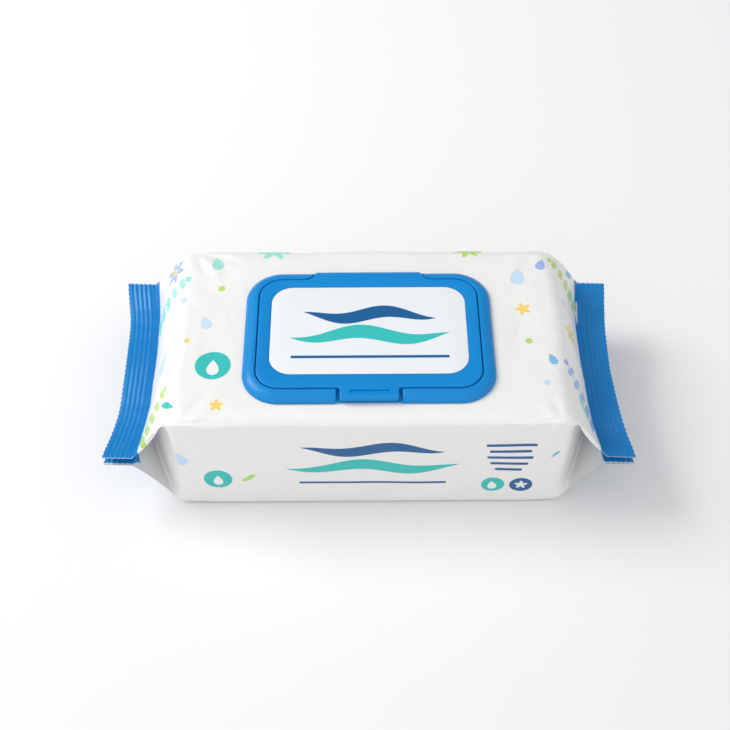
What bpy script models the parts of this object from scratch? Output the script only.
"""Wet wipes pack: a gusseted film pack with a flip-top dispenser glued on its top.

Frame: +X along the pack, -Y towards the latch, +Z up. The origin is on the table, under the pack's middle.
"""

import math

import bmesh
import bpy
from mathutils import Vector

MM = 0.001

# Pack
PACK_WIDTH = 109.6 * MM        # along Y
FILM_TOP = 61.6 * MM           # height of the film under the dispenser
FILM_WALL = 0.4 * MM
STACK_END = 88.5 * MM          # half length of the stack of wipes
CORNER_X = 89.3 * MM           # half length of the pack's floor
SEAL_INNER = 108.0 * MM
SEAL_OUTER = 121.5 * MM
SEAL_Z = 33.0 * MM
SEAL_THICK = 1.4 * MM
TUCK_DEPTH = 27.0 * MM         # how far each side is folded in between top and floor at the seals
FLAT_HALF = 40.0 * MM          # the top is flat to here, then rolls over the long edge
ROLL_DROP = 10.5 * MM
FLOOR_ROLL = 2.5 * MM

# Wipes
STACK_TOP = 57.8 * MM
STACK_HALF_WIDTH = 53.8 * MM
WIPE_LAYERS = 0.8 * MM         # thickness of one wipe folded in two
WIPE_HALF_LENGTH = 86.0 * MM
WIPE_HALF_WIDTH = 49.0 * MM
GAP = 0.3 * MM                 # between pieces that touch

# Dispenser, in its own frame: origin on the film, in the middle of the frame
DISPENSER_Y = -4.5 * MM
BASE_HALF = (57.5 * MM, 39.5 * MM)
BASE_RADIUS = 17.0 * MM
RIM_WIDTH = 5.9 * MM
RIM_TOP = 4.0 * MM
DECK_TOP = 2.0 * MM
DECK_UNDER = 1.0 * MM
OPENING_HALF = (28.0 * MM, 14.0 * MM)
OPENING_RADIUS = 10.0 * MM
LIP_WIDTH = 1.2 * MM
LIP_TOP = 2.6 * MM
NOTCH_FLOOR = 1.2 * MM
LATCH_NOTCH_HALF = 14.75 * MM
HINGE_NOTCH_HALF = 25.5 * MM

# Lid
LID_GAP = 0.5 * MM
LID_TOP = 4.2 * MM
LID_UNDER = 2.9 * MM
SKIRT_FOOT = 2.4 * MM
SKIRT_WALL = 1.0 * MM
TAB_HALF = 13.25 * MM
TAB_UNDER = 2.6 * MM
LEDGE_HALF = 8.75 * MM
HINGE_TAB_HALF = 25.0 * MM
HINGE_TAB_END = BASE_HALF[1] - 0.4 * MM
HINGE_Y = BASE_HALF[1] - 0.2 * MM   # the hinge axis, in the dispenser's frame
HINGE_Z = 2.4 * MM
LABEL_HALF = (45.25 * MM, 26.6 * MM)
LABEL_Y = 1.25 * MM            # the label sits a little behind the lid's middle
LABEL_RADIUS = 10.0 * MM
LABEL_RECESS = 0.6 * MM
LABEL_THICK = 0.2 * MM
HOOK_HALF = 8.0 * MM

CORNER_STEPS = 8


def collection(name):
    made = bpy.data.collections.new(name)
    bpy.context.scene.collection.children.link(made)
    return made


def clear_scene():
    for obj in list(bpy.data.objects):
        bpy.data.objects.remove(obj, do_unlink=True)


def plastic(name, colour, roughness):
    material = bpy.data.materials.new(name)
    material.use_nodes = True
    shader = material.node_tree.nodes["Principled BSDF"]
    shader.inputs["Base Color"].default_value = (*colour, 1.0)
    shader.inputs["Roughness"].default_value = roughness
    return material


def new_object(name, mesh_data, home, material=None):
    """Makes an object from a bmesh, faces outward, in the given collection."""
    bmesh.ops.recalc_face_normals(mesh_data, faces=mesh_data.faces)
    mesh = bpy.data.meshes.new(name)
    mesh_data.to_mesh(mesh)
    mesh_data.free()
    obj = bpy.data.objects.new(name, mesh)
    home.objects.link(obj)
    if material:
        mesh.materials.append(material)
        mesh.shade_smooth()
        mesh.set_sharp_from_angle(angle=math.radians(30))
    return obj


def rounded_ring(half, radius, z):
    """Points of a rounded rectangle at height z, counter-clockwise from above."""
    points = []
    for quarter in range(4):
        side_x = 1 if quarter in (0, 3) else -1
        side_y = 1 if quarter in (0, 1) else -1
        centre = Vector((side_x * (half[0] - radius), side_y * (half[1] - radius), z))
        for step in range(CORNER_STEPS + 1):
            angle = math.radians(90 * (quarter + step / CORNER_STEPS))
            points.append(centre + radius * Vector((math.cos(angle), math.sin(angle), 0)))
    return points


def inset_ring(inset, z):
    """The frame's outline, moved in by inset."""
    half = (BASE_HALF[0] - inset, BASE_HALF[1] - inset)
    return rounded_ring(half, BASE_RADIUS - inset, z)


def opening_ring(outset, z):
    """The dispensing opening's outline, moved out by outset."""
    half = (OPENING_HALF[0] + outset, OPENING_HALF[1] + outset)
    return rounded_ring(half, OPENING_RADIUS + outset, z)


def label_ring(outset, z):
    """The label's outline, moved out by outset."""
    half = (LABEL_HALF[0] + outset, LABEL_HALF[1] + outset)
    return [point + Vector((0, LABEL_Y, 0)) for point in rounded_ring(half, LABEL_RADIUS + outset, z)]


def loft(rings, closed_path):
    """Skins one ring of points to the next. A closed path joins the last to the first, an open one is capped."""
    made = bmesh.new()
    rows = [[made.verts.new(point) for point in ring] for ring in rings]
    pairs = list(zip(rows, rows[1:]))
    if closed_path:
        pairs.append((rows[-1], rows[0]))
    else:
        made.faces.new(rows[0])
        made.faces.new(rows[-1])
    for low, high in pairs:
        for here in range(len(low)):
            there = (here + 1) % len(low)
            made.faces.new((low[here], low[there], high[there], high[here]))
    return made


def prism(profile, half_length):
    """An outline in Y and Z, drawn out along X."""
    made = bmesh.new()
    outline = made.faces.new([made.verts.new((-half_length, y, z)) for y, z in profile])
    drawn = bmesh.ops.extrude_face_region(made, geom=[outline])
    moved = [item for item in drawn["geom"] if isinstance(item, bmesh.types.BMVert)]
    bmesh.ops.translate(made, verts=moved, vec=(2 * half_length, 0, 0))
    return made


def block(low, high):
    """A box between two corners."""
    made = bmesh.new()
    bmesh.ops.create_cube(made, size=1.0)
    size = Vector(high) - Vector(low)
    bmesh.ops.scale(made, vec=size, verts=made.verts)
    bmesh.ops.translate(made, vec=(Vector(low) + Vector(high)) / 2, verts=made.verts)
    return made


def combine(target, operation, name, mesh_data, home):
    """Joins a shape to the target or cuts it away, in the target's own frame."""
    tool = new_object(name, mesh_data, home)
    tool.location = target.location
    tool.parent = target.parent
    tool.hide_render = True
    tool.display_type = "WIRE"
    modifier = target.modifiers.new(name, "BOOLEAN")
    modifier.operation = operation
    modifier.object = tool
    modifier.solver = "EXACT"
    return tool


# Film


def quarter_roll(flat_y, side_y, high_z, low_z, steps):
    """Points of a quarter ellipse from the flat at flat_y, high_z down to the side at side_y, low_z."""
    points = []
    for step in range(steps + 1):
        angle = math.radians(90 * step / steps)
        y = flat_y + (side_y - flat_y) * math.sin(angle)
        z = low_z + (high_z - low_z) * math.cos(angle)
        points.append((y, z))
    return points


def tube_section(x, half_width, top, floor, tuck, roll):
    """One section of the film tube: top, rolled edges, sides folded in by tuck at half height, and floor.

    roll goes from 1, the soft edges along the wipes, to 0, the creased edges at a seal.
    """
    sharp = 0.1 * MM
    flat = FLAT_HALF + (half_width - FLAT_HALF - sharp) * (1 - roll)
    drop = sharp + (ROLL_DROP - sharp) * roll
    floor_roll = sharp + (FLOOR_ROLL - sharp) * roll
    side = [(flat / 2, top)]
    side += quarter_roll(flat, half_width, top, top - drop, 6)
    side.append((half_width - tuck, (top + floor) / 2))
    lower = quarter_roll(half_width - floor_roll, half_width, floor, floor + floor_roll, 3)
    side += lower[::-1]
    other = [(-y, z) for y, z in reversed(side)]
    outline = [(0.0, top), *side, (0.0, floor), *other]
    return [Vector((x, y, z)) for y, z in outline]


def film_stations():
    """(x, top, floor, tuck, roll) along half the pack, from the middle to the seal."""
    shoulder = [
        (0.0, FILM_TOP, 0.0, 0.0, 1.0),
        (70.0 * MM, FILM_TOP, 0.0, 0.0, 1.0),
        (80.0 * MM, FILM_TOP - 0.4 * MM, 0.0, 0.0, 1.0),
        (85.0 * MM, FILM_TOP - 1.4 * MM, 0.0, 0.0, 0.95),
        (CORNER_X, FILM_TOP - 3.8 * MM, 0.3 * MM, 0.0, 0.8),
    ]
    end_top = shoulder[-1][1]
    end_floor = shoulder[-1][2]
    slope = []
    for share in (0.25, 0.5, 0.75, 0.9):
        x = CORNER_X + (SEAL_INNER - CORNER_X) * share
        top = end_top + (SEAL_Z + SEAL_THICK / 2 - end_top) * share
        floor = end_floor + (SEAL_Z - SEAL_THICK / 2 - end_floor) * share
        slope.append((x, top, floor, TUCK_DEPTH * share, 0.8 * (1 - share)))
    return shoulder + slope


def both_ends(stations):
    """Mirrors the stations of one half, which start at x = 0."""
    return [(-x, *rest) for x, *rest in reversed(stations[1:])] + stations


def film_skin():
    seal = (SEAL_Z + SEAL_THICK / 2, SEAL_Z - SEAL_THICK / 2, 0.0, 0.0)
    stations = film_stations() + [(SEAL_INNER, *seal), (SEAL_OUTER, *seal)]
    return loft([tube_section(x, PACK_WIDTH / 2, *rest) for x, *rest in both_ends(stations)], False)


def film_cavity():
    """The room inside the film.

    Its wall is measured square to the film, so it is taller where the film slopes. Beside a tucked-in side the
    room narrows to a wedge between the top and the tuck, so its edge stops short of the film's edge.
    """
    rings = []
    for x, top, floor, tuck, roll in both_ends(film_stations()):
        sloped = abs(x) > STACK_END
        wall = 2.2 * FILM_WALL if sloped else FILM_WALL
        half_height = (top - floor) / 2
        edge_back = FILM_WALL + 2 * wall * tuck / half_height
        fold_back = 1.6 * FILM_WALL * math.hypot(tuck, half_height) / half_height if sloped else FILM_WALL
        inner_tuck = tuck + fold_back - edge_back
        rings.append(tube_section(x, PACK_WIDTH / 2 - edge_back, top - wall, floor + wall, inner_tuck, roll))
    return loft(rings, False)


def make_film(parts, cutters):
    film = new_object("film_wrap", film_skin(), parts, plastic("printed_film", (0.90, 0.91, 0.90), 0.35))
    combine(film, "DIFFERENCE", "film_cavity", film_cavity(), cutters)
    low_z, high_z = FILM_TOP - 1.2 * MM, FILM_TOP + 1.0 * MM
    hole = loft([opening_ring(3.0 * MM, z) for z in (low_z, high_z)], False)
    bmesh.ops.translate(hole, vec=(0, DISPENSER_Y, 0), verts=hole.verts)
    combine(film, "DIFFERENCE", "film_opening", hole, cutters)


# Wipes


def stack_crown(y):
    """Height of the stack's top at y: flat, then rolling over its long edges."""
    if abs(y) <= FLAT_HALF:
        return STACK_TOP
    share = (abs(y) - FLAT_HALF) / (STACK_HALF_WIDTH - FLAT_HALF)
    return STACK_TOP - ROLL_DROP * (1 - math.sqrt(max(0.0, 1 - share * share)))


def make_stack(parts):
    corner_top = quarter_roll(FLAT_HALF, STACK_HALF_WIDTH, STACK_TOP, STACK_TOP - ROLL_DROP, 6)
    foot = FILM_WALL + GAP + 0.1 * MM
    corner_foot = quarter_roll(STACK_HALF_WIDTH - FLOOR_ROLL, STACK_HALF_WIDTH, foot, foot + FLOOR_ROLL, 3)
    side = corner_top + corner_foot[::-1]
    profile = side + [(-y, z) for y, z in reversed(side)]
    fibre = plastic("wet_fibre", (0.87, 0.88, 0.87), 0.75)
    stack = new_object("wipes_stack", prism(profile, STACK_END - GAP), parts, fibre)
    ends = stack.modifiers.new("soft_ends", "BEVEL")
    ends.width = 2.0 * MM
    ends.segments = 2
    ends.limit_method = "ANGLE"
    ends.angle_limit = math.radians(60)


def make_top_wipe(parts):
    """A wipe folded in two, lying on the stack and rolling over its long edges."""
    columns = 16
    under = []
    for column in range(columns + 1):
        y = WIPE_HALF_WIDTH * (2 * column / columns - 1)
        under.append((y, stack_crown(y) + GAP + 0.1 * MM))
    over = [(y, z + WIPE_LAYERS) for y, z in reversed(under)]
    cloth = plastic("wipe_cloth", (0.88, 0.89, 0.88), 0.8)
    new_object("top_wipe", prism(under + over, WIPE_HALF_LENGTH), parts, cloth)


# Dispenser


def in_dispenser_frame(obj):
    obj.location = (0.0, DISPENSER_Y, FILM_TOP)
    return obj


def make_adhesive(parts):
    """The glue between the film and the underside of the deck."""
    low, high = GAP, DECK_UNDER - GAP
    outer = RIM_WIDTH + 0.8 * MM
    inner = 8.0 * MM
    rings = [inset_ring(outer, low), inset_ring(outer, high), opening_ring(inner, high), opening_ring(inner, low)]
    glue = plastic("hot_melt_glue", (0.80, 0.78, 0.70), 0.5)
    in_dispenser_frame(new_object("adhesive_ring", loft(rings, True), parts, glue))


def base_section():
    """Rings round the moulded frame: lip, deck, rim and its slope, then back along the underside."""
    skirt = 1.2 * MM
    top_side = [
        opening_ring(0.0, DECK_UNDER),
        opening_ring(0.0, LIP_TOP - 0.2 * MM),
        opening_ring(0.2 * MM, LIP_TOP),
        opening_ring(LIP_WIDTH - 0.2 * MM, LIP_TOP),
        opening_ring(LIP_WIDTH, LIP_TOP - 0.2 * MM),
        opening_ring(LIP_WIDTH, DECK_TOP),
        inset_ring(RIM_WIDTH, DECK_TOP),
        inset_ring(RIM_WIDTH, RIM_TOP - 0.3 * MM),
        inset_ring(RIM_WIDTH - 0.4 * MM, RIM_TOP),
    ]
    slope = [
        inset_ring(3.2 * MM, 3.15 * MM),
        inset_ring(1.0 * MM, 1.8 * MM),
        inset_ring(0.2 * MM, 1.1 * MM),
        inset_ring(0.0, 0.7 * MM),
    ]
    underside = [
        inset_ring(0.0, GAP),
        inset_ring(skirt, GAP),
        inset_ring(skirt + 0.3 * MM, 0.9 * MM),
        inset_ring(4.5 * MM, 2.7 * MM),
        inset_ring(4.8 * MM, DECK_UNDER),
    ]
    return top_side + slope + underside


def make_base(parts, cutters, blue):
    base = in_dispenser_frame(new_object("dispenser_base", loft(base_section(), True), parts, blue))
    rim_inside = BASE_HALF[1] - RIM_WIDTH
    outside = BASE_HALF[1] + 1.0 * MM
    floor_end = BASE_HALF[1] - 0.4 * MM
    for name, side, half in (("latch", -1, LATCH_NOTCH_HALF), ("hinge", 1, HINGE_NOTCH_HALF)):
        ends = sorted((side * (rim_inside - 0.4 * MM), side * floor_end))
        low = (-half - 1.0 * MM, ends[0], GAP)
        high = (half + 1.0 * MM, ends[1], NOTCH_FLOOR)
        combine(base, "UNION", name + "_floor", block(low, high), cutters)
        ends = sorted((side * (rim_inside - 0.01 * MM), side * outside))
        low = (-half, ends[0], NOTCH_FLOOR)
        high = (half, ends[1], RIM_TOP + 1.0 * MM)
        combine(base, "DIFFERENCE", name + "_notch", block(low, high), cutters)
    catch_front = -BASE_HALF[1] + 2.8 * MM
    catch = block((-HOOK_HALF, catch_front, 1.0 * MM), (HOOK_HALF, catch_front + 0.8 * MM, 2.2 * MM))
    combine(base, "UNION", "latch_catch", catch, cutters)


def lid_section():
    """Rings down the lid, from the floor of the label's recess over the edge to the inside of its seal ring."""
    edge = RIM_WIDTH + LID_GAP
    seal_gap = LIP_WIDTH + 0.4 * MM
    seal_wall = 0.9 * MM
    seal_foot = DECK_TOP + GAP
    return [
        label_ring(GAP, LID_TOP - LABEL_RECESS),
        label_ring(GAP, LID_TOP),
        inset_ring(edge + 0.4 * MM, LID_TOP),
        inset_ring(edge + 0.1 * MM, LID_TOP - 0.15 * MM),
        inset_ring(edge, LID_TOP - 0.45 * MM),
        inset_ring(edge, SKIRT_FOOT),
        inset_ring(edge + SKIRT_WALL, SKIRT_FOOT),
        inset_ring(edge + SKIRT_WALL, LID_UNDER),
        opening_ring(seal_gap + seal_wall, LID_UNDER),
        opening_ring(seal_gap + seal_wall, seal_foot),
        opening_ring(seal_gap, seal_foot),
        opening_ring(seal_gap, LID_UNDER),
    ]


def make_lid(parts, cutters, blue, axis):
    lid = new_object("flip_lid", loft(lid_section(), False), parts, blue)
    lid.parent = axis
    lid.location = (0.0, -HINGE_Y, -HINGE_Z)
    inside = BASE_HALF[1] - RIM_WIDTH - LID_GAP - 0.7 * MM
    tab_front = BASE_HALF[1] - 0.1 * MM
    lip_wall = 1.1 * MM
    tab = [
        (-inside, LID_TOP),
        (-tab_front + 4.4 * MM, LID_TOP),
        (-tab_front + 0.7 * MM, 3.7 * MM),
        (-tab_front, 3.3 * MM),
        (-tab_front, 2.0 * MM),
        (-tab_front + lip_wall, 2.0 * MM),
        (-tab_front + lip_wall, TAB_UNDER),
        (-inside, TAB_UNDER),
    ]
    combine(lid, "UNION", "press_tab", prism(tab, TAB_HALF), cutters)
    hinge_tab = [
        (inside, LID_TOP),
        (HINGE_TAB_END - 2.2 * MM, LID_TOP - 0.05 * MM),
        (HINGE_TAB_END - 0.8 * MM, 3.7 * MM),
        (HINGE_TAB_END, 3.0 * MM),
        (HINGE_TAB_END, TAB_UNDER),
        (inside, TAB_UNDER),
    ]
    combine(lid, "UNION", "hinge_tab", prism(hinge_tab, HINGE_TAB_HALF), cutters)
    hook_front = -tab_front + 3.9 * MM
    hook = block((-HOOK_HALF, hook_front, 1.6 * MM), (HOOK_HALF, hook_front + 0.7 * MM, TAB_UNDER + 0.3 * MM))
    combine(lid, "UNION", "latch_hook", hook, cutters)
    ledge_front, ledge_back = -tab_front + 2.9 * MM, -tab_front + 4.7 * MM
    ledge = block((-LEDGE_HALF, ledge_front, LID_TOP - 0.5 * MM), (LEDGE_HALF, ledge_back, LID_TOP + 1.0 * MM))
    combine(lid, "DIFFERENCE", "finger_ledge", ledge, cutters)


def make_label(parts, axis):
    low = LID_TOP - LABEL_RECESS + GAP
    rings = [label_ring(0.0, z) for z in (low, low + LABEL_THICK)]
    paper = plastic("label_film", (0.86, 0.88, 0.90), 0.35)
    label = new_object("lid_label", loft(rings, False), parts, paper)
    label.parent = axis
    label.location = (0.0, -HINGE_Y, -HINGE_Z)


def make_hinge(parts, blue):
    """The web between frame and lid: a thin strip, bowed outward, along the hinge axis."""
    low, high = NOTCH_FLOOR + GAP, TAB_UNDER - GAP
    bow, wall, steps = 0.5 * MM, 0.3 * MM, 4
    outer = []
    for step in range(steps + 1):
        share = step / steps
        y = HINGE_Y - 0.9 * MM + bow * math.sin(math.pi * share)
        outer.append((y, low + (high - low) * share))
    inner = [(y - wall, z) for y, z in reversed(outer)]
    web = new_object("living_hinge", prism(outer + inner, HINGE_TAB_HALF - 1.0 * MM), parts, blue)
    in_dispenser_frame(web)


def main():
    clear_scene()
    parts = collection("wet_wipes_pack")
    cutters = collection("cutters")
    blue = plastic("blue_polypropylene", (0.0, 0.24, 0.62), 0.4)
    axis = bpy.data.objects.new("lid_axis", None)
    axis.location = (0.0, DISPENSER_Y + HINGE_Y, FILM_TOP + HINGE_Z)
    parts.objects.link(axis)
    make_film(parts, cutters)
    make_stack(parts)
    make_top_wipe(parts)
    make_adhesive(parts)
    make_base(parts, cutters, blue)
    make_lid(parts, cutters, blue, axis)
    make_label(parts, axis)
    make_hinge(parts, blue)


main()
